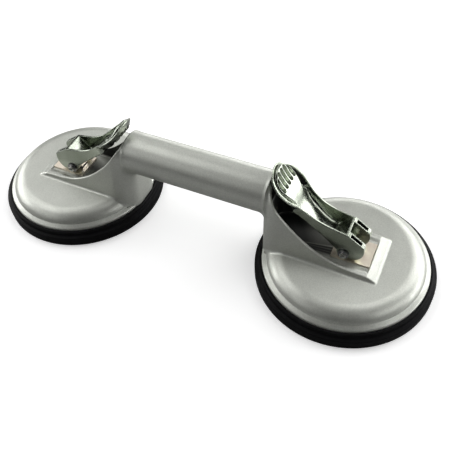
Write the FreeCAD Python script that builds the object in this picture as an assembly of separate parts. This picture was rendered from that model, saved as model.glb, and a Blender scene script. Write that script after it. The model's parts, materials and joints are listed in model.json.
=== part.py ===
import FreeCAD, Part
import math
import os

# Twin-cup hand lifter. Millimetres, +Z up, +X along the handle.
# Origin: on the glass plane, midway between the two cups.
# Every cup is modelled once in its own place: u runs outwards from the cup's
# centre, away from the handle, y across, z up. The left cup is the right one
# turned half a turn about Z.

V = FreeCAD.Vector

# overall
CUP_SPACING = 208.0
PAD_RADIUS = 60.0

# cast disc of each cup
DISC_TOP_Z = 21.0
DISC_FLAT_RADIUS = 38.5
DISC_SHOULDER_RADIUS = 51.3
DISC_SHOULDER_Z = 13.6
DISC_LIP_RADIUS = 55.4
DISC_LIP_Z = 12.4
DISC_BOTTOM_Z = 7.2
DISC_WALL = 2.6
DISC_RIM_WALL = 5.2
SHOULDER_UPPER_BEND = (44.0, 20.6)
SHOULDER_KNEE = (48.0, 18.6)
SHOULDER_LOWER_BEND = (50.4, 16.4)
GROOVE_DEPTH = 0.5
LIP_ROUND = 0.8
HOLLOW_DRAFT = 1.0

# handle tube
HANDLE_AXIS_Z = 54.7
HANDLE_RADIUS = 14.4
HANDLE_BORE_RADIUS = 11.4

# lever housing on each disc
HOUSING_HALF_WIDTH = 18.8
HOUSING_CROWN_RADIUS = 16.4
HOUSING_INNER_U = -54.0
HOUSING_OUTER_U = 23.8
HOUSING_CORNER = 9.0
HOUSING_WALL = 2.0
HOUSING_FOOT_Z = 12.0
SILL_INNER_U = 18.3
SILL_INNER_Z = 23.8
SILL_OUTER_Z = 21.4
WELL_FLOOR_Z = 22.8
WELL_END_GAP = 0.6
RIM_POINTS = [(4.0, 24.6), (-9.0, 27.5), (-19.0, 33.0), (-32.0, 43.4), (-43.0, 55.4), (-50.0, 66.0)]

# spring pocket and stem hole under the well floor
POCKET_RADIUS = 14.4
POCKET_TOP_Z = 20.8
STEM_HOLE_RADIUS = 5.4

# rubber pad
PAD_EDGE_Z = 6.5
PAD_LIP_RADIUS = 57.4
PAD_LIP_Z = 12.0
PAD_RING_INNER_RADIUS = 46.0
PAD_RECESS = 1.6
PAD_TOP_Z = 5.4
PAD_CHAMFER = 0.6
PAD_EDGE_BEND = (59.6, 7.3)
PAD_EDGE_STEP = (58.6, 7.7)
SEAM_GAP = 0.1

# lifting train: core plate, stem, nut, spring
CORE_PLATE_RADIUS = 34.0
CORE_PLATE_THICKNESS = 1.8
STEM_RADIUS = 3.1
EYE_RADIUS = 3.8
THREAD_GAP = 0.05
NUT_ACROSS_FLATS = 10.0
NUT_HEIGHT = 3.2
SEAT_INNER_RADIUS = 6.4
SEAT_OUTER_RADIUS = 13.6
SEAT_THICKNESS = 0.8
SPRING_WIRE = 1.2
SPRING_BOTTOM_RADIUS = 13.0
SPRING_TOP_RADIUS = 8.8

# wear plate
PLATE_TOP_Z = 24.0
PLATE_INNER_U = -8.0
PLATE_OUTER_U = 17.5
PLATE_HALF_WIDTH = 9.9
PLATE_SLOT_HALF_LENGTH = 4.6
PLATE_SLOT_HALF_WIDTH = 3.6

# pin joint
PIN_RADIUS = 2.2
PIN_HALF_LENGTH = 11.2
PIN_RUNNING_GAP = 0.05
PIN_BORE_RADIUS = 1.1
PIN_BORE_DEPTH = 3.0
GROOVE_RADIUS = 1.8
CLIP_RADIUS = 3.6
CLIP_THICKNESS = 0.8
CLIP_MOUTH = 3.0
CLIP_Y = 9.0
WASHER_RADIUS = 3.6
WASHER_THICKNESS = 0.9

# cam lever
CAM_GAP = 0.2
CAM_BASE = 3.9
CAM_LIFT = 9.8
HEEL_TILT_DEG = 12.0
LOCK_ANGLE_DEG = 90.0 + HEEL_TILT_DEG
EAR_HALF_WIDTH = 8.7
EAR_INNER_Y = 4.3
FLANGE_WALL = 1.6
HEEL_TOP = (1.1, 17.4)
HEEL_FACE_END = 7.2
TOE_RADIUS = 4.9
FLANGE_RIM = [(-6.5, 18.9), (-14.4, 21.0), (-22.0, 24.8), (-31.0, 32.3), (-40.0, 39.6)]
FLANGE_UNDERSIDE = [(-39.0, 30.9), (-31.0, 24.4), (-22.8, 16.8), (-13.8, 9.4)]
CHANNEL = [(-9.0, 10.6), (-15.0, 15.0), (-22.0, 21.4), (-28.0, 28.6), (-32.0, 35.0), (-34.0, 60.0),
           (-0.6, 60.0), (-0.6, 17.6)]
MOUTH = [(-12.0, 5.8), (-8.8, 8.0), (-5.4, 9.6), (0.4, 15.6), (1.1, 17.2), (1.1, 20.0), (20.0, 20.0),
         (20.0, -8.0), (-12.0, -8.0)]
POCKET_ENDS = (1.8, 10.8)
POCKET_DEPTH = 4.0
POCKET_HALF_WIDTH = 1.1
THUMB_HALF_WIDTH = 14.0
THUMB_CENTRE = (-41.0, 40.5)
THUMB_HALF_LENGTH = 14.0
THUMB_SLOPE_DEG = 38.0
THUMB_DEPTH = 4.6
THUMB_RIM = 1.6
THUMB_PAD_GAP = 1.6
MOAT_DEPTH = 2.6
PAD_CREST = [(-31.0, 28.6), (-33.0, 32.8), (-35.8, 38.2), (-38.6, 42.8), (-41.0, 46.6), (-43.4, 49.8),
             (-45.6, 51.0), (-48.0, 50.4), (-50.4, 47.2)]
RIDGE_GROOVES = 5
RIDGE_SPACING = 3.15
RIDGE_GROOVE_WIDTH = 1.6
RIDGE_GROOVE_RUN = (2.0, 8.4)
RIDGE_GROOVE_FLOOR = 3.2

PIN_Z = PLATE_TOP_Z + CAM_GAP + CAM_BASE
HALF_SPACING = CUP_SPACING / 2.0


def edge_chain(start, moves):
    """Wire of lines and arcs in the XZ plane. A move is (x, z), or (middle, end) for an arc."""
    edges = []
    here = V(start[0], 0, start[1])
    for move in moves:
        if isinstance(move[0], tuple):
            middle = V(move[0][0], 0, move[0][1])
            end = V(move[1][0], 0, move[1][1])
            edges.append(Part.Arc(here, middle, end).toShape())
        else:
            end = V(move[0], 0, move[1])
            edges.append(Part.makeLine(here, end))
        here = end
    return Part.Wire(edges)


def turned(start, moves):
    """Solid of revolution about Z."""
    return Part.Face(edge_chain(start, moves)).revolve(V(0, 0, 0), V(0, 0, 1), 360)


def slab(wire, half_width):
    """XZ outline made into a slab, centred on y = 0."""
    solid = Part.Face(wire).extrude(V(0, 2 * half_width, 0))
    solid.translate(V(0, -half_width, 0))
    return solid


def polygon(points):
    return edge_chain(points[0], points[1:] + [points[0]])


def tube(outer_radius, inner_radius, height, base, direction=V(0, 0, 1)):
    ring = Part.makeCylinder(outer_radius, height, base, direction)
    return ring.cut(Part.makeCylinder(inner_radius, height, base, direction))


def box(low, high):
    return Part.makeBox(high[0] - low[0], high[1] - low[1], high[2] - low[2], V(*low))


# ---------------------------------------------------------------- casting

def disc_outside():
    """Domed disc with its rolled shoulder, groove and lip."""
    top = DISC_TOP_Z
    return turned((0, top), [
        (DISC_FLAT_RADIUS, top),
        (SHOULDER_UPPER_BEND, SHOULDER_KNEE),
        (SHOULDER_LOWER_BEND, (DISC_SHOULDER_RADIUS, DISC_SHOULDER_Z)),
        (DISC_SHOULDER_RADIUS + GROOVE_DEPTH, DISC_SHOULDER_Z - GROOVE_DEPTH),
        (DISC_LIP_RADIUS - LIP_ROUND, DISC_LIP_Z + LIP_ROUND / 2),
        (DISC_LIP_RADIUS, DISC_LIP_Z - LIP_ROUND / 2),
        (DISC_LIP_RADIUS, DISC_BOTTOM_Z),
        (0, DISC_BOTTOM_Z),
        (0, top),
    ])


def disc_hollow():
    """Space under the disc in which the pad's middle rises."""
    roof = DISC_TOP_Z - DISC_WALL
    mouth = DISC_LIP_RADIUS - DISC_RIM_WALL
    return turned((0, roof), [
        (DISC_FLAT_RADIUS + DISC_WALL / 2, roof),
        (mouth - HOLLOW_DRAFT, DISC_SHOULDER_Z),
        (mouth, DISC_BOTTOM_Z),
        (0, DISC_BOTTOM_Z),
        (0, roof),
    ])


def housing_prism(inset):
    """Arched lever housing, inset by a wall: arch section along X, plan outline along Z."""
    half = HOUSING_HALF_WIDTH - inset
    crown = HOUSING_CROWN_RADIUS - inset
    foot = HOUSING_FOOT_Z
    points = [V(0, -half, foot), V(0, -crown, HANDLE_AXIS_Z), V(0, 0, HANDLE_AXIS_Z + crown),
              V(0, crown, HANDLE_AXIS_Z), V(0, half, foot)]
    section = Part.Wire([
        Part.makeLine(points[4], points[0]),
        Part.makeLine(points[0], points[1]),
        Part.Arc(points[1], points[2], points[3]).toShape(),
        Part.makeLine(points[3], points[4]),
    ])
    low_u = HOUSING_INNER_U + inset
    arch = Part.Face(section).extrude(V(HOUSING_OUTER_U - low_u, 0, 0))
    arch.translate(V(low_u, 0, 0))
    plan = box((low_u, -half, 0), (HOUSING_OUTER_U, half, 2 * HANDLE_AXIS_Z))
    upright = [e for e in plan.Edges
               if abs(e.CenterOfMass.x - low_u) < 0.01 and abs(e.CenterOfMass.z - HANDLE_AXIS_Z) < 0.01]
    plan = plan.makeFillet(HOUSING_CORNER - inset, upright)
    return arch.common(plan)


def rim_profile():
    """Side outline of the housing: foot, end sill and the sweeping rim of the scoop."""
    crown_z = HANDLE_AXIS_Z + HOUSING_CROWN_RADIUS
    start = V(SILL_INNER_U, 0, SILL_INNER_Z)
    end = V(HOUSING_INNER_U, 0, crown_z)
    rim = Part.BSplineCurve()
    rim.interpolate([start] + [V(u, 0, z) for u, z in RIM_POINTS] + [end])
    foot = edge_chain((HOUSING_INNER_U, crown_z), [
        (HOUSING_INNER_U, HOUSING_FOOT_Z),
        (HOUSING_OUTER_U, HOUSING_FOOT_Z),
        (HOUSING_OUTER_U, SILL_OUTER_Z),
        (SILL_INNER_U, SILL_INNER_Z),
    ])
    return Part.Wire([rim.toShape()] + foot.Edges)


def housing_solid():
    return housing_prism(0.0).common(slab(rim_profile(), HOUSING_HALF_WIDTH))


def well_cut():
    """Hollow of the scoop, down to its floor and out through the open top."""
    room = box((HOUSING_INNER_U, -HOUSING_HALF_WIDTH, WELL_FLOOR_Z),
               (SILL_INNER_U - WELL_END_GAP, HOUSING_HALF_WIDTH, 2 * HANDLE_AXIS_Z))
    return housing_prism(HOUSING_WALL).common(room)


def place(shape, side):
    """Put a shape from cup coordinates onto the right (+1) or left (-1) cup."""
    placed = shape.copy()
    placed.translate(V(HALF_SPACING, 0, 0))
    if side < 0:
        placed.rotate(V(0, 0, 0), V(0, 0, 1), 180)
    return placed


def casting():
    reach = HALF_SPACING + HOUSING_INNER_U + HOUSING_WALL
    handle = Part.makeCylinder(HANDLE_RADIUS, 2 * reach, V(-reach, 0, HANDLE_AXIS_Z), V(1, 0, 0))
    cup = disc_outside().fuse(housing_solid()).cut(disc_hollow())
    body = handle.fuse([place(cup, 1), place(cup, -1)])
    pocket = Part.makeCylinder(POCKET_RADIUS, POCKET_TOP_Z, V(0, 0, 0))
    hole = Part.makeCylinder(STEM_HOLE_RADIUS, DISC_TOP_Z * 2, V(0, 0, 0))
    for side in (1, -1):
        body = body.cut(place(well_cut(), side))
        body = body.cut(place(pocket, side))
        body = body.cut(place(hole, side))
    bore = Part.makeCylinder(HANDLE_BORE_RADIUS, 2 * reach + 2, V(-reach - 1, 0, HANDLE_AXIS_Z), V(1, 0, 0))
    return body.cut(bore).removeSplitter()


# ---------------------------------------------------------------- pad and lifting train

def rubber_pad():
    """Flat moulded pad: sealing ring, shallow recess, and a lip that wraps the disc's edge."""
    inner = DISC_LIP_RADIUS + SEAM_GAP
    ledge = DISC_BOTTOM_Z - SEAM_GAP
    neck = DISC_LIP_RADIUS - DISC_RIM_WALL
    return turned((0, PAD_RECESS), [
        (PAD_RING_INNER_RADIUS - PAD_RECESS, PAD_RECESS),
        (PAD_RING_INNER_RADIUS, 0),
        (PAD_RADIUS - PAD_CHAMFER, 0),
        (PAD_RADIUS, PAD_CHAMFER),
        (PAD_RADIUS, PAD_EDGE_Z),
        (PAD_EDGE_BEND, PAD_EDGE_STEP),
        (PAD_LIP_RADIUS, PAD_EDGE_STEP[1] + PAD_CHAMFER),
        (PAD_LIP_RADIUS, PAD_LIP_Z - PAD_CHAMFER),
        (PAD_LIP_RADIUS - PAD_CHAMFER, PAD_LIP_Z),
        (inner, PAD_LIP_Z),
        (inner, ledge),
        (neck - PAD_CHAMFER, ledge),
        (neck - PAD_CHAMFER - ledge + PAD_TOP_Z, PAD_TOP_Z),
        (0, PAD_TOP_Z),
        (0, PAD_RECESS),
    ])


def core_plate():
    return tube(CORE_PLATE_RADIUS, STEM_RADIUS + THREAD_GAP, CORE_PLATE_THICKNESS, V(0, 0, PAD_TOP_Z))


def pull_stem():
    """Threaded shank that ends in a flat-sided eye for the pivot pin."""
    shank = Part.makeCylinder(STEM_RADIUS, PIN_Z - PAD_TOP_Z, V(0, 0, PAD_TOP_Z))
    eye = Part.makeCylinder(EYE_RADIUS, 2 * STEM_RADIUS, V(0, -STEM_RADIUS, PIN_Z), V(0, 1, 0))
    neck = box((-EYE_RADIUS, -STEM_RADIUS, PIN_Z - 2 * EYE_RADIUS), (EYE_RADIUS, STEM_RADIUS, PIN_Z))
    hole = Part.makeCylinder(PIN_RADIUS + PIN_RUNNING_GAP, 4 * STEM_RADIUS,
                             V(0, -2 * STEM_RADIUS, PIN_Z), V(0, 1, 0))
    return shank.fuse([eye, neck]).cut(hole).removeSplitter()


def lock_nut():
    corner = NUT_ACROSS_FLATS / math.sqrt(3)
    base = PAD_TOP_Z + CORE_PLATE_THICKNESS
    corners = [V(corner * math.cos(math.radians(60 * i)), corner * math.sin(math.radians(60 * i)), base)
               for i in range(7)]
    nut = Part.Face(Part.makePolygon(corners)).extrude(V(0, 0, NUT_HEIGHT))
    return nut.cut(Part.makeCylinder(STEM_RADIUS + THREAD_GAP, NUT_HEIGHT, V(0, 0, base)))


def spring_seat():
    base = PAD_TOP_Z + CORE_PLATE_THICKNESS
    return tube(SEAT_OUTER_RADIUS, SEAT_INNER_RADIUS, SEAT_THICKNESS, V(0, 0, base))


def return_spring():
    """Conical sleeve with the outer and inner shape of the coil, between its seat and the pocket's roof."""
    low = PAD_TOP_Z + CORE_PLATE_THICKNESS + SEAT_THICKNESS + SEAM_GAP
    high = POCKET_TOP_Z - SEAM_GAP
    return turned((SPRING_BOTTOM_RADIUS, low), [
        (SPRING_TOP_RADIUS, high),
        (SPRING_TOP_RADIUS - SPRING_WIRE, high),
        (SPRING_BOTTOM_RADIUS - SPRING_WIRE, low),
        (SPRING_BOTTOM_RADIUS, low),
    ])


def wear_plate():
    """Thin slotted plate that takes the wear of the cams."""
    plate = box((PLATE_INNER_U, -PLATE_HALF_WIDTH, WELL_FLOOR_Z),
                (PLATE_OUTER_U, PLATE_HALF_WIDTH, PLATE_TOP_Z))
    slot = box((-PLATE_SLOT_HALF_LENGTH, -PLATE_SLOT_HALF_WIDTH, WELL_FLOOR_Z),
               (PLATE_SLOT_HALF_LENGTH, PLATE_SLOT_HALF_WIDTH, PLATE_TOP_Z))
    return plate.cut(slot)


# ---------------------------------------------------------------- pin joint

def pivot_pin():
    """Pin with a drilled end and a clip groove at each side."""
    pin = Part.makeCylinder(PIN_RADIUS, 2 * PIN_HALF_LENGTH, V(0, -PIN_HALF_LENGTH, PIN_Z), V(0, 1, 0))
    for side in (1, -1):
        end = V(0, side * PIN_HALF_LENGTH, PIN_Z)
        low = CLIP_Y if side > 0 else -CLIP_Y - CLIP_THICKNESS
        pin = pin.cut(tube(CLIP_RADIUS, GROOVE_RADIUS, CLIP_THICKNESS, V(0, low, PIN_Z), V(0, 1, 0)))
        pin = pin.cut(Part.makeCylinder(PIN_BORE_RADIUS, PIN_BORE_DEPTH, end, V(0, -side, 0)))
    return pin


def pin_clips():
    """Two E-clips, one at each end of the pin."""
    clips = []
    for side in (1, -1):
        low = CLIP_Y if side > 0 else -CLIP_Y - CLIP_THICKNESS
        clip = tube(CLIP_RADIUS, GROOVE_RADIUS + THREAD_GAP, CLIP_THICKNESS, V(0, low, PIN_Z), V(0, 1, 0))
        mouth = box((-CLIP_MOUTH / 2, low, PIN_Z - CLIP_RADIUS),
                    (CLIP_MOUTH / 2, low + CLIP_THICKNESS, PIN_Z))
        clips.append(clip.cut(mouth))
    return Part.makeCompound(clips)


def pin_washers():
    """Two washers that keep the lever's ears off the stem's eye."""
    gap = (EAR_INNER_Y - STEM_RADIUS - WASHER_THICKNESS) / 2
    low_near = -EAR_INNER_Y + gap
    return Part.makeCompound([
        tube(WASHER_RADIUS, PIN_RADIUS + THREAD_GAP, WASHER_THICKNESS, V(0, low, PIN_Z), V(0, 1, 0))
        for low in (low_near, STEM_RADIUS + gap)
    ])


# ---------------------------------------------------------------- lever

def on_face(angle_deg, reach, along):
    """Point of the face whose outward normal has this angle: reach from the pin, then along the face."""
    angle = math.radians(angle_deg)
    return (reach * math.cos(angle) - along * math.sin(angle),
            reach * math.sin(angle) + along * math.cos(angle))


def cam_points(steps=8):
    """Involute cam: the distance from the pin to the plate grows evenly as the lever turns."""
    rate = CAM_LIFT / math.radians(LOCK_ANGLE_DEG)
    return [on_face(LOCK_ANGLE_DEG * i / steps - 90, CAM_BASE + CAM_LIFT * i / steps, rate)
            for i in range(steps + 1)]


def heel_corner():
    return on_face(HEEL_TILT_DEG, CAM_BASE + CAM_LIFT, HEEL_FACE_END)


def ear_pocket():
    """Pocket sunk into the sloping end face of an ear, between that face's top edge and corner."""
    top = V(HEEL_TOP[0], 0, HEEL_TOP[1])
    down = V(heel_corner()[0], 0, heel_corner()[1]).sub(top).normalize()
    inward = V(down.z, 0, -down.x)
    corners = [top + down * POCKET_ENDS[i] + inward * (POCKET_DEPTH * j)
               for i, j in ((0, -1), (0, 1), (1, 1), (1, -1))]
    return slab(Part.makePolygon(corners + corners[:1]), POCKET_HALF_WIDTH)


def lever_side_wire():
    """Side outline of the flanges and ears, about the pin: cam, heel, rim, underside and round toe."""
    cam = cam_points()
    cam_edge = Part.BSplineCurve()
    cam_edge.interpolate([V(x, 0, z) for x, z in cam])
    heel = [heel_corner(), HEEL_TOP]
    toe_centre_z = TOE_RADIUS - CAM_BASE
    toe_start = (-TOE_RADIUS, toe_centre_z)
    toe_middle = (-TOE_RADIUS * math.sqrt(0.5), toe_centre_z - TOE_RADIUS * math.sqrt(0.5))
    toe = [toe_start, (toe_middle, (0.0, -CAM_BASE)), cam[0]]
    outline = edge_chain(cam[-1], heel + FLANGE_RIM + FLANGE_UNDERSIDE + toe)
    return Part.Wire([cam_edge.toShape()] + outline.Edges)


def thumb_frame(shape):
    """Tilt a flat shape onto the plane of the thumb end."""
    shape.rotate(V(0, 0, 0), V(0, 1, 0), THUMB_SLOPE_DEG)
    shape.translate(V(THUMB_CENTRE[0], 0, THUMB_CENTRE[1]))
    return shape


def oval(half_length, half_width, depth, low_z):
    curve = Part.Ellipse(V(0, 0, low_z), half_length, half_width).toShape()
    return Part.Face(Part.Wire([curve])).extrude(V(0, 0, depth))


def thumb_oval(inset, low_z, depth):
    """Slice of the thumb end's plan, inset from its edge; heights are measured from the rim."""
    return thumb_frame(oval(THUMB_HALF_LENGTH - inset, THUMB_HALF_WIDTH - inset, depth, low_z))


def thumb_pad():
    """Raised pad inside the moat, with a row of grip grooves cut along its crest."""
    crest = Part.BSplineCurve()
    crest.interpolate([V(a, 0, b) for a, b in PAD_CREST])
    foot = Part.makeLine(V(PAD_CREST[-1][0], 0, PAD_CREST[-1][1]), V(PAD_CREST[0][0], 0, PAD_CREST[0][1]))
    crown = slab(Part.Wire([crest.toShape(), foot]), THUMB_HALF_WIDTH)
    pad = crown.common(thumb_oval(THUMB_RIM + THUMB_PAD_GAP, -THUMB_DEPTH, 4 * THUMB_DEPTH))
    for i in range(RIDGE_GROOVES):
        y = (i - (RIDGE_GROOVES - 1) / 2) * RIDGE_SPACING
        groove = box((-RIDGE_GROOVE_RUN[1], y - RIDGE_GROOVE_WIDTH / 2, RIDGE_GROOVE_FLOOR),
                     (-RIDGE_GROOVE_RUN[0], y + RIDGE_GROOVE_WIDTH / 2, 4 * THUMB_DEPTH))
        pad = pad.cut(thumb_frame(groove))
    return pad


def lever():
    """Cast cam lever: two ears, a channel between two flanges, and a broad thumb end."""
    body = slab(lever_side_wire(), EAR_HALF_WIDTH)
    body = body.cut(slab(polygon(CHANNEL), EAR_HALF_WIDTH - FLANGE_WALL))
    body = body.cut(slab(polygon(MOUTH), EAR_INNER_Y))
    ear_middle = (EAR_HALF_WIDTH + EAR_INNER_Y) / 2
    for y in (ear_middle, -ear_middle):
        pocket = ear_pocket()
        pocket.translate(V(0, y, 0))
        body = body.cut(pocket)
    tray = thumb_oval(0.0, -THUMB_DEPTH, THUMB_DEPTH)
    moat = thumb_oval(THUMB_RIM, -MOAT_DEPTH, MOAT_DEPTH)
    moat = moat.cut(thumb_oval(THUMB_RIM + THUMB_PAD_GAP, -MOAT_DEPTH, MOAT_DEPTH))
    body = body.fuse(tray).cut(moat).fuse(thumb_pad())
    body.translate(V(0, 0, PIN_Z))
    hole = Part.makeCylinder(PIN_RADIUS + PIN_RUNNING_GAP, 4 * EAR_HALF_WIDTH,
                             V(0, -2 * EAR_HALF_WIDTH, PIN_Z), V(0, 1, 0))
    return body.cut(hole).removeSplitter()


CUP_PARTS = {
    "rubber_pad": rubber_pad,
    "core_plate": core_plate,
    "pull_stem": pull_stem,
    "lock_nut": lock_nut,
    "spring_seat": spring_seat,
    "return_spring": return_spring,
    "wear_plate": wear_plate,
    "pivot_pin": pivot_pin,
    "pin_clips": pin_clips,
    "pin_washers": pin_washers,
    "cam_lever": lever,
}

os.makedirs("parts", exist_ok=True)
casting().exportStep("parts/body_casting.step")
for name, make in CUP_PARTS.items():
    shape = make()
    place(shape, 1).exportStep(f"parts/right_{name}.step")
    place(shape, -1).exportStep(f"parts/left_{name}.step")
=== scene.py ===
import json
import math

import bpy
import numpy as np
from mathutils import Matrix, Vector
from mathutils.bvhtree import BVHTree


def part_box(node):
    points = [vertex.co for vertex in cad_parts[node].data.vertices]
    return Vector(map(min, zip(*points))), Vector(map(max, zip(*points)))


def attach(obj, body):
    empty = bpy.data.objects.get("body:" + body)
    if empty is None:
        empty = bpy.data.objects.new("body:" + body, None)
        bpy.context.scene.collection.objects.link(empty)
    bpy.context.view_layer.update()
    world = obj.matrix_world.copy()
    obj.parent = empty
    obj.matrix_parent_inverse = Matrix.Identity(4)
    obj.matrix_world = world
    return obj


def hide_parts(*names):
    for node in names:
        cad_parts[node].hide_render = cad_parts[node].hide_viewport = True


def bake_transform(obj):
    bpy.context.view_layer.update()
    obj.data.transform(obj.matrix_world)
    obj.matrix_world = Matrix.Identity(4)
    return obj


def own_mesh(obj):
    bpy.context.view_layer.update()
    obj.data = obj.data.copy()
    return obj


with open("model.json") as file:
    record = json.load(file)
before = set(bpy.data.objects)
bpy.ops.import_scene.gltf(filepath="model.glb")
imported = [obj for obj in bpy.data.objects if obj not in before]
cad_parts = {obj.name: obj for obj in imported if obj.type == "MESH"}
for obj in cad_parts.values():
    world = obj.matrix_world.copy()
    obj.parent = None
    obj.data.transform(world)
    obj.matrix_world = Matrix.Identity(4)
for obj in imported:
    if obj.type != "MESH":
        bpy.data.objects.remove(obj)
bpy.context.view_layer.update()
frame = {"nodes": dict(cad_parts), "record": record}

# Lengths in this script are millimetres until a mesh is made, then metres.
# The cast and plated pieces are made as distance fields, which give their cast
# fillets and rounded edges; a field is negative inside the metal.
MM = 0.001
SIDES = {"right": 1, "left": -1}
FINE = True
LATHE_SEGMENTS = 192 if FINE else 96
CASTING_STEP, CASTING_SHARE = (0.72, 0.5) if FINE else (1.2, 1.0)
LEVER_STEP = 0.36 if FINE else 0.6
SLOPE_REACH = 0.02
SETTLE_ROUNDS = 3
RECESS_RAYS = 20


def node_box(node):
    """Lowest and highest corner of a CAD node, in millimetres."""
    low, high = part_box(node)
    return np.array(low) / MM, np.array(high) / MM


def joint(name):
    """Record of the joint with this name."""
    return next(j for j in frame["record"]["behaviour"]["joints"] if j["name"] == name)


# places read from the frame
pad_low, pad_high = node_box("right_rubber_pad")
casting_low, casting_high = node_box("body_casting")
plate_low, plate_high = node_box("right_wear_plate")
CUP_X = (pad_low[0] + pad_high[0]) / 2
PAD_RADIUS = (pad_high[0] - pad_low[0]) / 2
PAD_LIP_Z = pad_high[2]
PIN_Z = joint("right_lever_turn")["pos_m"][2] / MM
LOCK_ANGLE = math.radians(joint("right_lever_turn")["range_deg"][1])
RIM_RADIUS = casting_high[0] - CUP_X
RIM_BOTTOM_Z = casting_low[2]
WELL_FLOOR_Z = plate_low[2]
PLATE_END_U = plate_high[0] - CUP_X

# casting: u is measured outwards from a cup's axis, r is the radius about it
HANDLE_Z = 54.7
HANDLE_RADIUS = 14.4
HANDLE_END_U = -52.5
BORE_RADIUS = 11.4
BORE_END_U = -47.0
DISC_TOP_Z = 21.0
DISC_FOOT_Z = 9.0
SHOULDER_RADIUS = 52.6
SHOULDER_RUN = 12.0
SHOULDER_DROP = 10.0
DISC_WALL = 2.6
SPRING_POCKET_RADIUS = 14.4
SPRING_POCKET_TOP_Z = 20.4
STEM_HOLE_RADIUS = 5.4
STEM_HOLE_TOP_Z = 30.0
HOUSING_HALF = 18.8
HOUSING_CROWN = 16.4
HOUSING_FOOT_Z = 12.0
HOUSING_BACK_U = -55.4
HOUSING_END_U = 23.8
HOUSING_WALL = 2.0
WELL_BACK_GAP = 0.6
WELL_END_GAP = 0.3
SILL_U = 18.3
# top edge of the housing's sides (u, z): a curve down from the crown, then the straight sill
RIM_CURVE = [(-62, 92), (-56.5, 77.5), (-53.2, 70.5), (-49.5, 64.5), (-43, 55.2), (-37.5, 48.6),
             (-32, 43.3), (-25.5, 37.6), (-19, 33), (-12, 29.1), (-5, 26.4), (4, 24.7)]
SILL_LINE = [(SILL_U, 23.8), (HOUSING_END_U, 21.4), (30, 18.7)]


# ------------------------------------------------------------------ distance fields

def fillet_union(a, b, radius):
    """Union of two fields with a fillet of this radius where they meet."""
    reach = np.hypot(np.maximum(radius - a, 0), np.maximum(radius - b, 0))
    return np.maximum(radius, np.minimum(a, b)) - reach


def round_meet(a, b, radius):
    """Intersection of two fields with the edge between them rounded to this radius."""
    reach = np.hypot(np.maximum(radius + a, 0), np.maximum(radius + b, 0))
    return np.minimum(-radius, np.maximum(a, b)) + reach


def smooth_curve(points, steps=8):
    """Points along a Catmull-Rom curve through the given points."""
    p = np.array(points, float)
    ends = np.vstack([2 * p[0] - p[1], p, 2 * p[-1] - p[-2]])
    t = np.linspace(0, 1, steps, endpoint=False)[:, None]
    spans = []
    for a, b, c, d in zip(ends, ends[1:], ends[2:], ends[3:]):
        spans.append(0.5 * (2 * b + (c - a) * t + (2 * a - 5 * b + 4 * c - d) * t**2
                            + (3 * b - 3 * c + d - a) * t**3))
    return np.vstack(spans + [p[-1:]])


def over_curve(points, across, up):
    """Distance above a height curve, negative below it."""
    points = points[np.argsort(points[:, 0])]
    slope = np.gradient(points[:, 1], points[:, 0])
    height = np.interp(across, points[:, 0], points[:, 1])
    steep = np.interp(across, points[:, 0], slope)
    return (up - height) / np.sqrt(1 + steep**2)


def outline_field(points, across, up):
    """Exact distance to a closed outline, negative inside."""
    points = np.array(points, float)
    nearest = np.full(np.broadcast(across, up).shape, 1e9)
    inside = np.zeros(nearest.shape, bool)
    for start, end in zip(points, np.roll(points, -1, axis=0)):
        ex, ez = end - start
        wx, wz = across - start[0], up - start[1]
        t = np.clip((wx * ex + wz * ez) / max(ex * ex + ez * ez, 1e-12), 0, 1)
        nearest = np.minimum(nearest, (wx - ex * t)**2 + (wz - ez * t)**2)
        crosses = (start[1] > up) != (end[1] > up)
        if abs(ez) > 1e-9:
            inside ^= crosses & (wx < ex * wz / ez)
    return np.where(inside, -1, 1) * np.sqrt(nearest)


CELL_CORNERS = [(i, j, k) for i in (0, 1) for j in (0, 1) for k in (0, 1)]


def net_from_field(field, low, high, step):
    """Surface net: a vertex in each grid cell the surface crosses, a quad per crossed edge."""
    axes = [np.arange(low[i] - step, high[i] + 2 * step, step) for i in range(3)]
    x, y, z = np.meshgrid(*axes, indexing="ij", sparse=True)
    values = np.asarray(field(x, y, z), np.float32)
    inside = values < 0
    cells = np.array(inside.shape) - 1
    count = sum(inside[i:cells[0] + i, j:cells[1] + j, k:cells[2] + k].astype(np.int8)
                for i, j, k in CELL_CORNERS)
    ci, cj, ck = np.nonzero((count > 0) & (count < 8))
    number = np.full(cells, -1, np.int32)
    number[ci, cj, ck] = np.arange(len(ci))
    total = np.zeros((len(ci), 3))
    hits = np.zeros(len(ci))
    for corner in CELL_CORNERS:
        for axis in range(3):
            if corner[axis]:
                continue
            other = list(corner)
            other[axis] = 1
            a = values[ci + corner[0], cj + corner[1], ck + corner[2]]
            b = values[ci + other[0], cj + other[1], ck + other[2]]
            crossed = (a < 0) != (b < 0)
            share = np.where(crossed, a / np.where(crossed, a - b, 1), 0)
            point = np.tile(np.array(corner, float), (len(ci), 1))
            point[:, axis] += share
            total += point * crossed[:, None]
            hits += crossed
    local = total / hits[:, None]
    points = np.stack([axes[0][ci], axes[1][cj], axes[2][ck]], 1) + local * step
    quads = []
    for axis in range(3):
        a = [slice(None)] * 3
        b = [slice(None)] * 3
        a[axis], b[axis] = slice(0, -1), slice(1, None)
        changed = inside[tuple(a)] != inside[tuple(b)]
        at = np.array(np.nonzero(changed))
        u, v = (axis + 1) % 3, (axis + 2) % 3
        keep = (at[u] > 0) & (at[v] > 0) & (at[u] < cells[u]) & (at[v] < cells[v])
        at = at[:, keep]
        ring = []
        for du, dv in ((1, 1), (0, 1), (0, 0), (1, 0)):
            c = at.copy()
            c[u] -= du
            c[v] -= dv
            ring.append(number[c[0], c[1], c[2]])
        ring = np.stack(ring, 1)
        outward = inside[tuple(at)]
        ring[~outward] = ring[~outward][:, ::-1]
        quads.append(ring)
    return points, np.vstack(quads)


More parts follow.
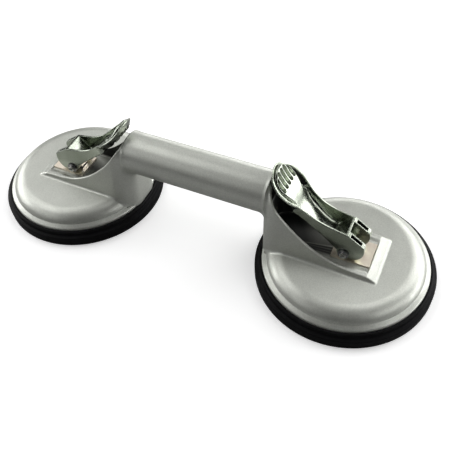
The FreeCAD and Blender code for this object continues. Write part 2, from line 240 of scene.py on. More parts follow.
def slope_at(field, points):
    """Value and gradient of a field at points."""
    value = field(*points.T)
    grads = []
    for axis in range(3):
        ahead, behind = points.copy(), points.copy()
        ahead[:, axis] += SLOPE_REACH
        behind[:, axis] -= SLOPE_REACH
        grads.append((field(*ahead.T) - field(*behind.T)) / (2 * SLOPE_REACH))
    return value, np.stack(grads, 1)


def settle(field, points, step):
    """Move points onto the field's surface and return them with their outward normals."""
    for _ in range(SETTLE_ROUNDS):
        value, grad = slope_at(field, points)
        move = value / np.maximum((grad**2).sum(1), 0.05)
        points = points - np.clip(move, -step / 2, step / 2)[:, None] * grad
    grad = slope_at(field, points)[1]
    return points, grad / np.maximum(np.linalg.norm(grad, axis=1), 1e-6)[:, None]


def new_object(name, points, faces):
    """Smooth mesh object from points in metres and faces, an array or lists of mixed size."""
    mesh = bpy.data.meshes.new(name)
    if isinstance(faces, np.ndarray):
        n, size = faces.shape
        mesh.vertices.add(len(points))
        mesh.vertices.foreach_set("co", np.asarray(points, np.float32).ravel())
        mesh.loops.add(n * size)
        mesh.loops.foreach_set("vertex_index", faces.astype(np.int32).ravel())
        mesh.polygons.add(n)
        mesh.polygons.foreach_set("loop_start", np.arange(0, n * size, size, dtype=np.int32))
        mesh.update(calc_edges=True)
        mesh.validate()
    else:
        mesh.from_pydata([tuple(p) for p in points], [], faces)
    mesh.polygons.foreach_set("use_smooth", [True] * len(mesh.polygons))
    made = bpy.data.objects.new(name, mesh)
    bpy.context.collection.objects.link(made)
    return made


def thin_out(obj, share):
    """Collapse edges down to this share of the faces."""
    modifier = obj.modifiers.new("thin", "DECIMATE")
    modifier.ratio = share
    graph = bpy.context.evaluated_depsgraph_get()
    mesh = bpy.data.meshes.new_from_object(obj.evaluated_get(graph))
    obj.modifiers.clear()
    obj.data = mesh


def from_field(name, field, low, high, step, share=1.0):
    """Object of a field's surface, with exact normals from the field's gradient."""
    points, quads = net_from_field(field, low, high, step)
    obj = new_object(name, points * MM, quads)
    if share < 1:
        thin_out(obj, share)
    mesh = obj.data
    points, normals = settle(field, mesh_places(mesh).astype(float) / MM, step)
    mesh.vertices.foreach_set("co", (points * MM).astype(np.float32).ravel())
    mesh.polygons.foreach_set("use_smooth", [True] * len(mesh.polygons))
    mesh.update()
    mesh.normals_split_custom_set_from_vertices(normals)
    return obj


def mesh_places(mesh):
    """Places of a mesh's vertices, one row each."""
    co = np.zeros(len(mesh.vertices) * 3, np.float32)
    mesh.vertices.foreach_get("co", co)
    return co.reshape(-1, 3)


def shade_recesses(obj, blockers, reach_mm):
    """Store on each vertex how closed in it is within this reach, 0 in the open and 1 in a recess;
    the materials paint shade from it.
    """
    trees = []
    for blocker in blockers:
        world = np.array(blocker.matrix_world)
        places = mesh_places(blocker.data) @ world[:3, :3].T + world[:3, 3]
        faces = [tuple(p.vertices) for p in blocker.data.polygons]
        trees.append(BVHTree.FromPolygons([tuple(place) for place in places], faces))
    golden = math.pi * (3 - math.sqrt(5))
    directions = []
    for k in range(RECESS_RAYS):
        up = 1 - (k + 0.5) / RECESS_RAYS
        flat = math.sqrt(1 - up * up)
        directions.append((flat * math.cos(golden * k), flat * math.sin(golden * k), up))
    mesh = obj.data
    world = obj.matrix_world
    spin = world.to_3x3()
    closed = np.zeros(len(mesh.vertices), np.float32)
    normals = {}
    for loop, corner in zip(mesh.loops, mesh.corner_normals):
        normals[loop.vertex_index] = corner.vector
    for vertex in mesh.vertices:
        normal = spin @ Vector(normals.get(vertex.index, vertex.normal))
        start = world @ vertex.co + normal * (0.15 * MM)
        hits = weight = 0.0
        upright = normal.to_track_quat("Z", "Y")
        for direction in directions:
            ray = upright @ Vector(direction)
            share = direction[2]
            weight += share
            if any(tree.ray_cast(start, ray, reach_mm * MM)[0] is not None for tree in trees):
                hits += share
        closed[vertex.index] = hits / weight
    # kept as the mask of the materials' painted shade
    attribute = mesh.attributes.new("recess", "FLOAT", "POINT")
    attribute.data.foreach_set("value", closed)


# ------------------------------------------------------------------ casting

RIM = np.vstack([smooth_curve(RIM_CURVE, 10), np.array(SILL_LINE)])


def disc_field(r, z, radius, top, run, drop):
    """Round disc whose top edge rolls over a quarter ellipse."""
    out = (r - (radius - run)) * (drop / run)
    up = z - (top - drop)
    out_part, up_part = np.maximum(out, 0), np.maximum(up, 0)
    reach = np.hypot(out_part, up_part)
    slope = np.hypot(out_part * (drop / run), up_part) / np.maximum(reach, 1e-6)
    slope = np.where(reach > 1e-6, np.maximum(slope, drop / run), 1)
    return (reach + np.minimum(np.maximum(out, up), 0) - drop) / slope


def arch_field(u, y, z, inset, back, corner):
    """Arched housing: sides leaning in to a half-round crown on the handle's axis, rounded back."""
    lean = (HOUSING_HALF - HOUSING_CROWN) / (HANDLE_Z - HOUSING_FOOT_Z)
    half = HOUSING_CROWN - inset + np.maximum(HANDLE_Z - z, 0) * lean
    side = np.hypot(y, np.maximum(z - HANDLE_Z, 0)) - half
    return round_meet(side, back - u, corner)


def casting_field(x, y, z):
    u = np.abs(x) - CUP_X
    r = np.hypot(u, y)
    from_axis = np.hypot(y, z - HANDLE_Z)
    disc = disc_field(r, z, SHOULDER_RADIUS, DISC_TOP_Z, SHOULDER_RUN, SHOULDER_DROP)
    top = over_curve(RIM, u, z)
    housing = arch_field(u, y, z, 0, HOUSING_BACK_U, 13.0)
    housing = round_meet(housing, top, 0.7)
    housing = round_meet(housing, u - HOUSING_END_U, 0.4)
    handle = np.maximum(from_axis - HANDLE_RADIUS, u - HANDLE_END_U)
    body = fillet_union(housing, handle, 3.6)
    body = fillet_union(body, disc, 1.8)
    well = arch_field(u, y, z, HOUSING_WALL, HOUSING_BACK_U + HOUSING_WALL + WELL_BACK_GAP, 10.0)
    floor_corner = 1.6 + 3.6 * np.clip((u + 6) / 12, 0, 1)
    well = round_meet(well, WELL_FLOOR_Z - z, floor_corner)
    well = round_meet(well, u - (PLATE_END_U + WELL_END_GAP), 0.8)
    body = round_meet(body, -well, 0.6)
    bore = np.maximum(from_axis - BORE_RADIUS, u - BORE_END_U)
    body = round_meet(body, -bore, 0.8)
    hollow = disc_field(r, z, SHOULDER_RADIUS - DISC_WALL, DISC_TOP_Z - DISC_WALL,
                        SHOULDER_RUN, SHOULDER_DROP)
    pocket = np.maximum(r - SPRING_POCKET_RADIUS, z - SPRING_POCKET_TOP_Z)
    hole = np.maximum(r - STEM_HOLE_RADIUS, z - STEM_HOLE_TOP_Z)
    cut = np.minimum(np.minimum(hollow, pocket), hole)
    body = round_meet(body, -cut, 0.3)
    return np.maximum(body, DISC_FOOT_Z - z)


def lathe(profile, segments, centre):
    """Points and quads of a closed profile (radius, height) turned about an upright axis."""
    turn = np.linspace(0, 2 * math.pi, segments, endpoint=False)
    profile = np.array(profile, float)
    n = len(profile)
    points = np.stack([
        centre[0] + np.outer(np.cos(turn), profile[:, 0]),
        centre[1] + np.outer(np.sin(turn), profile[:, 0]),
        centre[2] + np.tile(profile[:, 1], (segments, 1)),
    ], 2).reshape(-1, 3)
    i = np.arange(segments)[:, None]
    j = np.arange(n)[None, :]
    ahead, beside = (i + 1) % segments, (j + 1) % n
    quads = np.stack([i * n + j, ahead * n + j, ahead * n + beside, i * n + beside], -1)
    return points, quads.reshape(-1, 4)


def rounded(corners, steps=5):
    """Closed outline with each corner (x, z, radius) turned into an arc."""
    out = []
    p = np.array([c[:2] for c in corners], float)
    for i, corner in enumerate(corners):
        here, before, after = p[i], p[i - 1], p[(i + 1) % len(p)]
        radius = corner[2]
        if radius <= 0:
            out.append(here)
            continue
        a, b = before - here, after - here
        la, lb = np.linalg.norm(a), np.linalg.norm(b)
        a, b = a / la, b / lb
        half = math.acos(float(np.clip(a @ b, -1, 1))) / 2
        back = min(radius / math.tan(half), la * 0.49, lb * 0.49)
        start, end = here + a * back, here + b * back
        for t in np.linspace(0, 1, steps):
            out.append((1 - t)**2 * start + 2 * t * (1 - t) * here + t**2 * end)
    return out


def rim_ring_profile():
    """Lip round the foot of a disc, blended into its shoulder."""
    inner = RIM_RADIUS - 5.2
    outer = RIM_RADIUS - 0.3
    outline = rounded([
        (inner, RIM_BOTTOM_Z, 0.3), (inner, 11.6, 0), (SHOULDER_RADIUS - 3.0, 15.2, 0),
        (SHOULDER_RADIUS - 1.9, 16.2, 0), (SHOULDER_RADIUS - 0.8, 14.2, 2.2),
        (RIM_RADIUS - 0.8, 12.6, 0.9), (outer, 12.0, 0.4), (outer, RIM_BOTTOM_Z, 0.3),
    ])
    return outline[::-1]


def make_casting():
    """Both discs and housings with the handle between them, in one piece."""
    reach = CUP_X + SHOULDER_RADIUS
    low = (-reach, -SHOULDER_RADIUS, DISC_FOOT_Z - 0.5)
    high = (reach, SHOULDER_RADIUS, HANDLE_Z + HOUSING_CROWN)
    return from_field("casting", casting_field, low, high, CASTING_STEP, CASTING_SHARE)


# ------------------------------------------------------------------ lever

# about the pin: a runs outwards, b up; along is counted up the slope of the thumb grip
CAM_BASE = 3.9
CAM_LIFT = 9.8
HEEL_ALONG = 7.2
TOE_RADIUS = 4.9
TOE_B = 1.0
EAR_HALF = 8.7
EAR_INNER = 4.3
FLANGE_WALL = 1.5
PIN_HOLE_RADIUS = 2.25
THUMB_SLOPE = math.radians(37.5)
HEEL_TOP = (1.1, 17.4)
FLANGE_RIM = [HEEL_TOP, (-6.5, 18.9), (-14.4, 21.0), (-22.0, 24.8), (-31.0, 32.3), (-40.0, 39.6),
              (-44.4, 43.1), (-47.6, 46.2), (-49.6, 49.0), (-50.8, 51.4)]
FLANGE_UNDER = [(-52.3, 49.6), (-52.0, 46.2), (-46.5, 38.6), (-39.0, 30.9), (-31.0, 23.8),
                (-22.8, 16.8), (-13.8, 9.6), (-4.9, 1.6)]
TRAY_TOP = [(-0.4, 17.5), (-3.6, 13.9), (-8.5, 9.2), (-11.5, 9.9), (-15.0, 11.9), (-18.5, 14.4),
            (-22.5, 17.9), (-26.0, 21.3), (-29.2, 24.4), (-31.7, 27.7), (-33.9, 31.3),
            (-36.3, 34.8), (-39.0, 37.9), (-41.8, 40.9), (-43.6, 43.4), (-45.3, 46.1),
            (-46.6, 48.5), (-47.7, 50.3), (-48.9, 51.2), (-50.2, 51.1)]
CHANNEL_FAR_A = -62
CHANNEL_NEAR_A = -0.6
CHANNEL_TOP_B = 70
MOAT_DEPTH = 4.4
MOAT_HEEL_A = -31
# half widths (along, y) and the half ellipses at the tip (where it starts, length, half width)
LEVER_WIDTH = [(-20, 8.7), (22, 8.7), (32, 9.0), (39, 9.8), (43, 10.6), (46, 11.8), (49, 13.2),
               (52, 13.9), (56, 14.0), (80, 14.0)]
PAD_WIDTH = [(-20, 12.0), (35, 12.0), (38, 9.4), (42, 8.0), (46, 7.8), (50, 8.8), (54, 10.2),
             (58, 10.8), (80, 10.8)]
LEVER_TIP = (56.0, 15.6, 14.0)
PAD_TIP = (58.0, 11.8, 10.8)
UNDERCUT_FROM = 43
UNDERCUT_RUN = 6
UNDERCUT_SLOPE = 0.85
GROOVE_SPACING = 3.9
GROOVE_RADIUS = 1.4
GROOVE_FROM = 57.2
GROOVE_TO = 66.4
EAR_SLOT_MIDDLE = 6.3
EAR_SLOT_HALF_RUN = 4.5
EAR_SLOT_HALF_WIDTH = 1.15
EAR_SLOT_DEPTH = 4.0
LEVER_LOW = (-54.5, -14, -4.5)
LEVER_HIGH = (13.5, 14, 52.5)


def on_face(angle, reach, along):
    """Point of the face whose outward normal has this angle: reach from the pin, then along it."""
    return (reach * math.cos(angle) - along * math.sin(angle),
            reach * math.sin(angle) + along * math.cos(angle))


HEEL_CORNER = on_face(LOCK_ANGLE - math.pi / 2, CAM_BASE + CAM_LIFT, HEEL_ALONG)


def flange_outline():
    """Side outline of the flanges and ears: cam, heel, rim, tip, underside and toe."""
    rate = CAM_LIFT / LOCK_ANGLE
    cam = [on_face(LOCK_ANGLE * t - math.pi / 2, CAM_BASE + CAM_LIFT * t, rate)
           for t in np.linspace(0, 1, 17)]
    under = smooth_curve(FLANGE_UNDER)
    turn = np.linspace(math.pi, 1.5 * math.pi, 8)
    toe = np.stack([TOE_RADIUS * np.cos(turn), TOE_B + TOE_RADIUS * np.sin(turn)], 1)
    return np.vstack([cam, [HEEL_CORNER], RIM_LINE, under, toe])


RIM_LINE = smooth_curve(FLANGE_RIM)
TRAY_LINE = smooth_curve(TRAY_TOP)
FLANGES = flange_outline()


def channel_outline():
    """Channel between the flanges: the tray's floor, then the moat sunk round the thumb pad."""
    a = np.linspace(CHANNEL_FAR_A, CHANNEL_NEAR_A, 160)
    tray = np.interp(a, TRAY_LINE[::-1, 0], TRAY_LINE[::-1, 1])
    moat = np.interp(a, RIM_LINE[::-1, 0], RIM_LINE[::-1, 1]) - MOAT_DEPTH
    floor = np.where(a < MOAT_HEEL_A, np.minimum(tray, moat), tray)
    top = [(CHANNEL_NEAR_A, CHANNEL_TOP_B), (CHANNEL_FAR_A, CHANNEL_TOP_B)]
    return np.vstack([np.stack([a, floor], 1), top])


CHANNEL = channel_outline()
# the thumb pad: the tray's top above, and below it a line just inside the flanges' underside
PAD_HEEL_A = -22.0
PAD_UNDER = smooth_curve(FLANGE_UNDER)[6:] + np.array([0.0, 0.9])
PAD = np.vstack([line[line[:, 0] < PAD_HEEL_A] for line in (TRAY_LINE, PAD_UNDER)])
MOUTH = [(-12.0, 5.2), (-8.8, 6.9), (-5.4, 8.4), (-3.6, 10.6), (0.2, 15.4), (1.1, 17.0),
         (1.1, 22.0), (20.0, 22.0), (20.0, -8.0), (-12.0, -8.0)]
HOLLOW_ROOF = [(-47.0, 39.8), (-43.0, 36.3), (-39.0, 33.0), (-35.0, 29.6), (-32.0, 25.6),
               (-29.5, 21.5)]
THUMB_HOLLOW = np.vstack([smooth_curve(HOLLOW_ROOF), [(-29.5, 10), (-60, 10), (-60, 39.8)]])


def plan_field(along, y, widths, start, length, half):
    """Plan outline along the lever: a width that varies, closed by a half ellipse at the tip."""
    widths = np.array(widths, float)
    side = np.abs(y) - np.interp(along, widths[:, 0], widths[:, 1])
    past = np.maximum(along - start, 0)
    cap = (np.hypot(past / length, y / half) - 1) * half
    return np.where(along > start, cap, side)


def lever_field(a, y, b):
    """Lever about its pin."""
    along = -a * math.cos(THUMB_SLOPE) + b * math.sin(THUMB_SLOPE)
    side = outline_field(FLANGES, a, b)

    # outer shell: the flanges' outline met by the plan, which leans in below the rim at the tip
    above_rim = b - np.interp(a, RIM_LINE[::-1, 0], RIM_LINE[::-1, 1])
    undercut = np.clip((along - UNDERCUT_FROM) / UNDERCUT_RUN, 0, 1)
    undercut = UNDERCUT_SLOPE * undercut * undercut * (3 - 2 * undercut)
    plan = plan_field(along, y, LEVER_WIDTH, *LEVER_TIP)
    plan = (plan + undercut * np.maximum(-above_rim - 1.0, 0)) / np.sqrt(1 + undercut**2)
    shell = round_meet(side, plan, 0.6)

    # channel between the flanges, its corners fuller along the tray
    fillet = 0.7 + 2.8 * np.clip((a + 34) / 8, 0, 1) * np.clip((-7 - a) / 6, 0, 1)
    channel = round_meet(outline_field(CHANNEL, a, b), plan + FLANGE_WALL, fillet)
    body = round_meet(shell, -channel, 0.35)

    # thumb pad with its grooves
    crown = outline_field(PAD, a, b)
    pad_plan = plan_field(along, y, PAD_WIDTH, *PAD_TIP)
    pad = round_meet(np.maximum(crown, plan + 0.3), pad_plan, 2.2)
    body = np.minimum(body, pad)
    for i in range(-2, 3):
        end = np.maximum(np.maximum(GROOVE_FROM - along, along - GROOVE_TO), 0)
        groove = np.sqrt((y - GROOVE_SPACING * i)**2 + (crown * 0.65)**2 + end**2) - GROOVE_RADIUS
        groove = round_meet(groove, pad_plan + 1.1, 0.5)
        body = round_meet(body, -groove, 0.3)

    # mouth between the ears, hollow under the thumb pad, slots in the ears' heels, pin hole
    mouth = np.maximum(outline_field(MOUTH, a, b), np.abs(y) - EAR_INNER)
    body = round_meet(body, -mouth, 0.3)
    under = round_meet(outline_field(THUMB_HOLLOW, a, b), plan + 2.0, 1.5)
    body = round_meet(body, -under, 0.4)
    top = np.array(HEEL_TOP)
    corner = np.array(HEEL_CORNER)
    down = (corner - top) / np.linalg.norm(corner - top)
    run = (a - top[0]) * down[0] + (b - top[1]) * down[1]
    sunk = (a - top[0]) * down[1] - (b - top[1]) * down[0]
    slot = np.maximum(np.abs(run - EAR_SLOT_MIDDLE) - EAR_SLOT_HALF_RUN,
                      np.abs(np.abs(y) - (EAR_HALF + EAR_INNER) / 2) - EAR_SLOT_HALF_WIDTH)
    slot = np.maximum(slot, sunk - EAR_SLOT_DEPTH)
    body = round_meet(body, -slot, 0.25)
    return round_meet(body, PIN_HOLE_RADIUS - np.hypot(a, b), 0.2)


def make_lever():
    """One lever about its pin; both cups carry the same casting."""
    return from_field("lever_master", lever_field, LEVER_LOW, LEVER_HIGH, LEVER_STEP)


# ------------------------------------------------------------------ pads and springs

PAD_FOLD_RADIUS = 46.0
SPRING_TURNS = 4.5
SPRING_WIRE = 0.6
SPRING_RADII = (12.4, 9.2)


def pad_profile():
    """Section of a rubber disc: its thin middle, the thick rim and the lip round the metal disc."""
    lip = PAD_LIP_Z - 1.3
    inner = RIM_RADIUS - 0.2
    return rounded([
        (0.01, 1.6, 0), (44.4, 1.6, 0.6), (PAD_FOLD_RADIUS, 0.0, 0.5), (PAD_RADIUS, 0.0, 0.7),
        (PAD_RADIUS, 7.0, 1.0), (58.4, 7.7, 0.5), (57.6, 8.2, 0.4), (57.4, lip - 0.9, 0.6),
        (56.5, lip, 0.5), (inner, lip, 0.2), (inner, 7.1, 0.1), (49.6, 7.1, 0.5), (47.9, 5.4, 0.6),
        (0.01, 5.4, 0),
    ], 6)


def helix_tube(name, turns, low, high, wide, narrow, wire):
    """Conical coil of round wire."""
    steps, ring = int(turns * 48), 12
    t = np.linspace(0, 1, steps + 1)
    angle = 2 * math.pi * turns * t
    radius = wide + (narrow - wide) * t
    centre = np.stack([radius * np.cos(angle), radius * np.sin(angle), low + (high - low) * t], 1)
    forward = np.gradient(centre, axis=0)
    forward /= np.linalg.norm(forward, axis=1)[:, None]
    out = np.stack([np.cos(angle), np.sin(angle), np.zeros_like(angle)], 1)
    up = np.cross(forward, out)
    spin = np.linspace(0, 2 * math.pi, ring, endpoint=False)
    points = (centre[:, None] + wire * (np.cos(spin)[None, :, None] * out[:, None]
                                        + np.sin(spin)[None, :, None] * up[:, None])).reshape(-1, 3)
    faces = []
    for here in range(0, steps * ring, ring):
        for j in range(ring):
            beside = (j + 1) % ring
            faces.append([here + j, here + beside, here + ring + beside, here + ring + j])
    faces.append(list(range(ring))[::-1])
    faces.append([steps * ring + j for j in range(ring)])
    return new_object(name, points * MM, faces)


# ------------------------------------------------------------------ materials

class Surface:
    """Node material built round one Principled shader, with object coordinates in metres."""

    def __init__(self, name, **sockets):
        self.material = bpy.data.materials.new(name)
        self.material.use_nodes = True
        self.nodes = self.material.node_tree.nodes
        self.links = self.material.node_tree.links
        self.shader = self.nodes["Principled BSDF"]
        for socket, value in sockets.items():
            self.shader.inputs[socket.replace("_", " ")].default_value = value
        self.coordinates = self.nodes.new("ShaderNodeTexCoord").outputs["Object"]

    def noise(self, size_mm, detail=3.0, roughness=0.5, source=None):
        node = self.nodes.new("ShaderNodeTexNoise")
        node.inputs["Scale"].default_value = 1000.0 / size_mm
        node.inputs["Detail"].default_value = detail
        node.inputs["Roughness"].default_value = roughness
        self.links.new(source or self.coordinates, node.inputs["Vector"])
        return node.outputs["Fac"]

    def cells(self, size_mm):
        """Random colour for each small cell."""
        node = self.nodes.new("ShaderNodeTexVoronoi")
        node.inputs["Scale"].default_value = 1000.0 / size_mm
        self.links.new(self.coordinates, node.inputs["Vector"])
        return node.outputs["Color"]

    def stretched(self, scale):
        node = self.nodes.new("ShaderNodeMapping")
        node.inputs["Scale"].default_value = scale
        self.links.new(self.coordinates, node.inputs["Vector"])
        return node.outputs["Vector"]

    def across(self):
        """Metres from the middle towards the far right."""
        node = self.nodes.new("ShaderNodeVectorMath")
        node.operation = "DOT_PRODUCT"
        node.inputs[1].default_value = (0.55, 0.83, 0.0)
        self.links.new(self.coordinates, node.inputs[0])
        return node.outputs["Value"]

    def away(self):
        """Metres from the middle."""
        node = self.nodes.new("ShaderNodeVectorMath")
        node.operation = "LENGTH"
        self.links.new(self.coordinates, node.inputs[0])
        return node.outputs["Value"]

    def remap(self, value, low, high, to_low, to_high):
        node = self.nodes.new("ShaderNodeMapRange")
        range_ends = {"From Min": low, "From Max": high, "To Min": to_low, "To Max": to_high}
        for socket, number in range_ends.items():
            node.inputs[socket].default_value = number
        self.links.new(value, node.inputs["Value"])
        return node.outputs["Result"]

    def ramp(self, value, stops):
        node = self.nodes.new("ShaderNodeValToRGB")
        elements = node.color_ramp.elements
        while len(elements) < len(stops):
            elements.new(0.5)
        for element, (place, colour) in zip(elements, stops):
            element.position = place
            element.color = (*colour, 1.0)
        self.links.new(value, node.inputs["Fac"])
        return node.outputs["Color"]

    def multiply(self, a, b):
        node = self.nodes.new("ShaderNodeMix")
        node.data_type = "RGBA"
        node.blend_type = "MULTIPLY"
        node.inputs["Factor"].default_value = 1.0
        self.links.new(a, node.inputs["A"])
        self.links.new(b, node.inputs["B"])
        return node.outputs["Result"]

    def recess(self):
        """How closed in the surface is, from 0 in the open to 1 deep in a recess: the mask for
        painted shade.
        """
        node = self.nodes.new("ShaderNodeAttribute")
        node.attribute_name = "recess"
        return node.outputs["Fac"]

    def bump(self, height, strength, distance_mm, below=None):
        node = self.nodes.new("ShaderNodeBump")
        node.inputs["Strength"].default_value = strength
        node.inputs["Distance"].default_value = distance_mm * MM
        self.links.new(height, node.inputs["Height"])
        if below is not None:
            self.links.new(below, node.inputs["Normal"])
        return node.outputs["Normal"]

    def drive(self, socket, value):
        self.links.new(value, self.shader.inputs[socket])
        return self


def cast_aluminium():
    """Silver-grey paint with fine metal flakes, darkened by painted shade and made less metallic
    where the surface is closed in, as deep in the wells and under the levers.
    """
    s = Surface("cast_aluminium")
    tone = s.ramp(s.noise(26.0, 4.0), [(0.3, (0.555, 0.57, 0.52)), (0.7, (0.605, 0.62, 0.57))])
    flakes = s.ramp(s.cells(0.42), [(0.0, (0.86, 0.86, 0.86)), (1.0, (1.10, 1.10, 1.10))])
    closed = s.recess()
    # painted shade: the paint goes dark where the surface is closed in, standing in for shade
    painted_shade = s.ramp(closed, [(0.48, (1.0, 1.0, 1.0)), (0.62, (0.36, 0.36, 0.34)),
                            (0.80, (0.05, 0.05, 0.05))])
    s.drive("Base Color", s.multiply(s.multiply(tone, flakes), painted_shade))
    # painted shade also lowers the metallic share in closed-in places
    s.drive("Metallic", s.remap(closed, 0.50, 0.75, 0.60, 0.25))
    s.drive("Roughness", s.remap(s.noise(6.0, 5.0, 0.6), 0.3, 0.7, 0.36, 0.46))
    skin = s.bump(s.noise(7.0, 3.0), 0.25, 0.25)
    grain = s.bump(s.noise(0.55, 2.0, 0.7), 0.35, 0.05, skin)
    return s.drive("Normal", grain).material


def chrome():
    """Plated zinc casting: glossy but slightly uneven, darkened by painted shade deep in its
    grooves and pockets.
    """
    s = Surface("chrome", Metallic=1.0)
    tone = s.ramp(s.noise(14.0, 3.0), [(0.3, (0.33, 0.36, 0.30)), (0.7, (0.42, 0.45, 0.39))])
    # painted shade: the plating goes dark where the lever is closed in, standing in for shade
    painted_pocket_shade = s.ramp(s.recess(), [(0.45, (1.0, 1.0, 1.0)), (0.72, (0.35, 0.38, 0.32)),
                               (0.88, (0.03, 0.03, 0.03))])
    s.drive("Base Color", s.multiply(tone, painted_pocket_shade))
    s.drive("Roughness", s.remap(s.noise(3.5, 4.0, 0.6), 0.3, 0.7, 0.17, 0.27))
    waves = s.bump(s.noise(3.2, 3.0), 0.35, 0.25)
    return s.drive("Normal", s.bump(s.noise(0.9, 3.0, 0.6), 0.25, 0.06, waves)).material


def black_rubber():
    """Dull black rubber."""
    s = Surface("black_rubber", Specular_IOR_Level=0.08)
    tone = s.ramp(s.noise(9.0, 5.0, 0.6), [(0.3, (0.003, 0.003, 0.003)),
                                           (0.75, (0.007, 0.007, 0.008))])
    s.drive("Base Color", tone)
    s.drive("Roughness", s.remap(s.noise(2.0, 4.0, 0.6), 0.3, 0.7, 0.45, 0.62))
    return s.drive("Normal", s.bump(s.noise(0.8, 3.0, 0.6), 0.25, 0.06)).material


def zinc(name, cold, warm, low_rough, high_rough):
    """Zinc-plated steel between a cold and a warm tone, and between two roughnesses."""
    s = Surface(name, Metallic=1.0)
    s.drive("Base Color", s.ramp(s.noise(3.6, 4.0, 0.6), [(0.32, cold), (0.68, warm)]))
    s.drive("Roughness", s.remap(s.noise(1.2, 4.0, 0.6), 0.3, 0.7, low_rough, high_rough))
    return s.drive("Normal", s.bump(s.noise(0.5, 2.0), 0.15, 0.03)).material


def spring_wire():
    """Drawn steel wire, darker than the plated parts."""
    s = Surface("spring_wire", Metallic=1.0)
    tone = s.ramp(s.noise(2.0, 4.0), [(0.3, (0.22, 0.22, 0.23)), (0.7, (0.36, 0.36, 0.37))])
    s.drive("Base Color", tone)
    s.drive("Roughness", s.remap(s.noise(0.8, 3.0), 0.3, 0.7, 0.28, 0.42))
    drawn = s.noise(0.5, 2.0, 0.5, s.stretched((1.0, 1.0, 0.1)))
    return s.drive("Normal", s.bump(drawn, 0.2, 0.03)).material


def floor_paper(name, tone, glow, far_glow):
    """White paper whose glow grows towards the far side, or else outwards all round."""
    s = Surface(name, Metallic=0.0, Specular_IOR_Level=0.1, Emission_Strength=glow)
    s.shader.inputs["Emission Color"].default_value = (1, 1, 1, 1)
    paper = s.ramp(s.noise(60.0, 3.0), [(0.3, (tone,) * 3), (0.7, (tone * 1.02,) * 3)])
    s.drive("Base Color", paper)
    s.drive("Roughness", s.remap(s.noise(8.0, 3.0), 0.3, 0.7, 0.85, 0.95))
    if far_glow:
        s.drive("Emission Strength", s.remap(s.across(), 0.06, 0.40, 0.0, far_glow))
    else:
        s.drive("Emission Strength", s.remap(s.away(), 0.6, 2.5, glow, 1.0))
    return s.material


ALUMINIUM = cast_aluminium()
CHROME = chrome()
RUBBER = black_rubber()
YELLOW_ZINC = zinc("yellow_zinc", (0.80, 0.71, 0.60), (0.88, 0.81, 0.68), 0.34, 0.44)
ZINC_STEEL = zinc("zinc_steel", (0.74, 0.74, 0.73), (0.88, 0.87, 0.84), 0.22, 0.34)
SPRING = spring_wire()


def dress(obj, material):
    """Give an object this material alone."""
    obj.data.materials.clear()
    obj.data.materials.append(material)
    return obj


# ------------------------------------------------------------------ the pieces

def joined(name, objects):
    """One object from several."""
    with bpy.context.temp_override(active_object=objects[0], selected_editable_objects=objects):
        bpy.ops.object.join()
    objects[0].name = name
    return objects[0]


def build_casting():
    """Body casting: the cast field and the turned lips of its two discs."""
    rims = []
    for sign in SIDES.values():
        points, quads = lathe(rim_ring_profile(), LATHE_SEGMENTS, (sign * CUP_X, 0, 0))
        rims.append(new_object("rim", points * MM, quads))
    casting = joined("body_casting_skin", [make_casting()] + rims)
    dress(casting, ALUMINIUM)
    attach(casting, "root")
    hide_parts("body_casting")
    return casting


def build_levers():
    """Both levers, the left one turned half a turn about the upright axis."""
    master = make_lever()
    # painted shade mask for the lever's own grooves and pockets
    shade_recesses(master, [master], 14.0)
    levers = []
    for side, sign in SIDES.items():
        lever = bpy.data.objects.new(side + "_cam_lever_skin", master.data.copy())
        bpy.context.collection.objects.link(lever)
        dress(lever, CHROME)
        lever.location = (sign * CUP_X * MM, 0, PIN_Z * MM)
        lever.rotation_euler = (0, 0, 0 if sign > 0 else math.pi)
        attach(lever, side + "_lever")
        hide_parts(side + "_cam_lever")
        levers.append(lever)
    bpy.data.objects.remove(master)
    return levers


def build_pads():
    """Rubber discs turned from their section, one under each cup."""
    for side, sign in SIDES.items():
        points, quads = lathe(pad_profile(), LATHE_SEGMENTS, (sign * CUP_X, 0, 0))
        pad = new_object(side + "_rubber_pad_skin", points * MM, quads)
        dress(pad, RUBBER)
        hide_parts(side + "_rubber_pad")
        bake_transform(pad)


def build_springs():
    """Return springs: a conical coil of round wire in each cup, fixed to the root."""
    for side, sign in SIDES.items():
        low, high = node_box(side + "_return_spring")
        spring = helix_tube(side + "_return_spring_coil", SPRING_TURNS, low[2] + SPRING_WIRE,
                            high[2] - SPRING_WIRE, *SPRING_RADII, SPRING_WIRE)
        spring.data.transform(Matrix.Translation((sign * CUP_X * MM, 0, 0)))
        dress(spring, SPRING)
        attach(spring, "root")
        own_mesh(spring)
        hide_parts(side + "_return_spring")


def dress_hardware():
    """Finishes and broken edges for the small parts that keep their CAD shapes."""
    finish = {"core_plate": ZINC_STEEL, "pull_stem": ZINC_STEEL, "lock_nut": ZINC_STEEL,
              "spring_seat": ZINC_STEEL, "pivot_pin": ZINC_STEEL, "pin_washers": ZINC_STEEL,
              "pin_clips": SPRING, "wear_plate": YELLOW_ZINC}
    for side in SIDES:
        for part, material in finish.items():
            node = frame["nodes"][side + "_" + part]
            for slot in node.material_slots:
                slot.material = material
            bevel = node.modifiers.new("broken_edges", "BEVEL")
            bevel.width = 0.15 * MM
            bevel.segments = 2
            bevel.limit_method = "ANGLE"


casting = build_casting()
levers = build_levers()
bpy.context.view_layer.update()
# painted shade mask for the casting; the levers count as blockers, so it also holds their painted
# shadow
shade_recesses(casting, [casting] + levers, 45.0)
build_pads()
build_springs()
dress_hardware()

# ------------------------------------------------------------------ floor, light and camera

FLOOR_HALF_M = 6.0
FLOOR_CELLS = 24


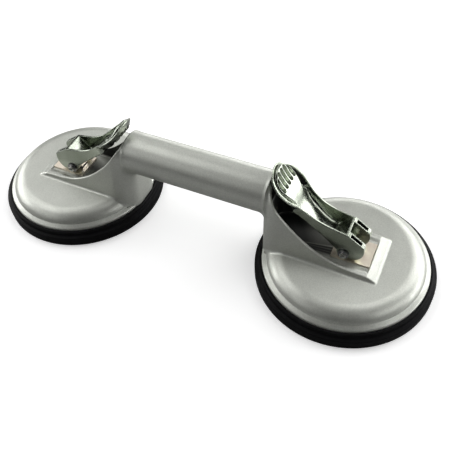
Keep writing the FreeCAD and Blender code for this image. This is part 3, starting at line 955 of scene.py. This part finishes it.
def build_floor(name, height, tone, glow, far_glow=0.0):
    """Wide pale sheet, gently uneven in tone like studio paper."""
    row = FLOOR_CELLS + 1
    line = np.linspace(-FLOOR_HALF_M, FLOOR_HALF_M, row)
    points = [(x, y, height) for y in line for x in line]
    corners = [j * row + i for j in range(FLOOR_CELLS) for i in range(FLOOR_CELLS)]
    faces = [[k, k + 1, k + row + 1, k + row] for k in corners]
    floor = new_object(name, points, faces)
    dress(floor, floor_paper(name + "_paper", tone, glow, far_glow))
    return floor


def softbox(name, azimuth, elevation, distance, size, radiance):
    """White rectangular light aimed at the object; azimuth is counted from +X towards +Y."""
    light = bpy.data.lights.new(name, "AREA")
    light.shape = "RECTANGLE"
    light.size, light.size_y = size
    light.energy = radiance * math.pi * size[0] * size[1]
    lamp = bpy.data.objects.new(name, light)
    a, e = math.radians(azimuth), math.radians(elevation)
    out = Vector((math.cos(a) * math.cos(e), math.sin(a) * math.cos(e), math.sin(e)))
    lamp.location = out * distance
    lamp.rotation_euler = out.to_track_quat("Z", "Y").to_euler()
    bpy.context.collection.objects.link(lamp)


# The sheet that the camera sees is white paper; a greyer one under it lights the object from below.
sheet = build_floor("floor", -0.0002, 0.90, 0.42)
sheet.visible_diffuse = False
sheet.visible_glossy = False
sheet.visible_shadow = False
bounce = build_floor("floor_bounce", -0.0005, 0.40, 0.0, 0.9)
bounce.visible_camera = False

world = bpy.data.worlds.new("studio")
world.use_nodes = True
world.node_tree.nodes["Background"].inputs["Color"].default_value = (1, 1, 1, 1)
world.node_tree.nodes["Background"].inputs["Strength"].default_value = 1.0
bpy.context.scene.world = world
world.cycles_visibility.diffuse = False
world.cycles_visibility.glossy = False
softbox("back_right_box", 62, 17, 1.3, (0.9, 0.62), 3.0)
softbox("right_back_strip", 28, 10, 1.3, (0.9, 0.40), 5.5)
softbox("right_back_high", 46, 40, 1.3, (0.68, 0.50), 3.3)
softbox("left_low_box", 180, 17, 1.3, (0.95, 0.62), 4.1)
softbox("left_high_box", 180, 55, 1.3, (0.8, 0.6), 2.5)
softbox("top_back_box", 60, 66, 1.3, (0.65, 0.42), 2.4)
softbox("right_box", -10, 32, 1.3, (0.5, 0.5), 2.2)
softbox("back_left_box", 130, 42, 1.3, (0.8, 0.5), 1.1)
softbox("back_low_box", 104, 8, 1.3, (1.0, 0.35), 3.0)
softbox("front_left_fill", 228, 35, 1.5, (0.9, 0.8), 0.9)
softbox("zenith_box", 0, 88, 1.5, (0.6, 0.6), 0.8)
bpy.context.scene.view_settings.view_transform = "Standard"

camera_data = bpy.data.cameras.new("camera")
camera_data.sensor_width = 36.0
camera_data.lens = 45.64
camera = bpy.data.objects.new("camera", camera_data)
camera_place = (0.14370, -0.23425, 0.32236)
right = Vector((0.90586, 0.42070, -0.04914)).normalized()
back = Vector((0.30402, -0.56503, 0.76702)).normalized()
up = back.cross(right).normalized()
turn = Matrix((right, up, back)).transposed().to_4x4()
camera.matrix_world = Matrix.Translation(camera_place) @ turn
bpy.context.collection.objects.link(camera)
bpy.context.scene.camera = camera
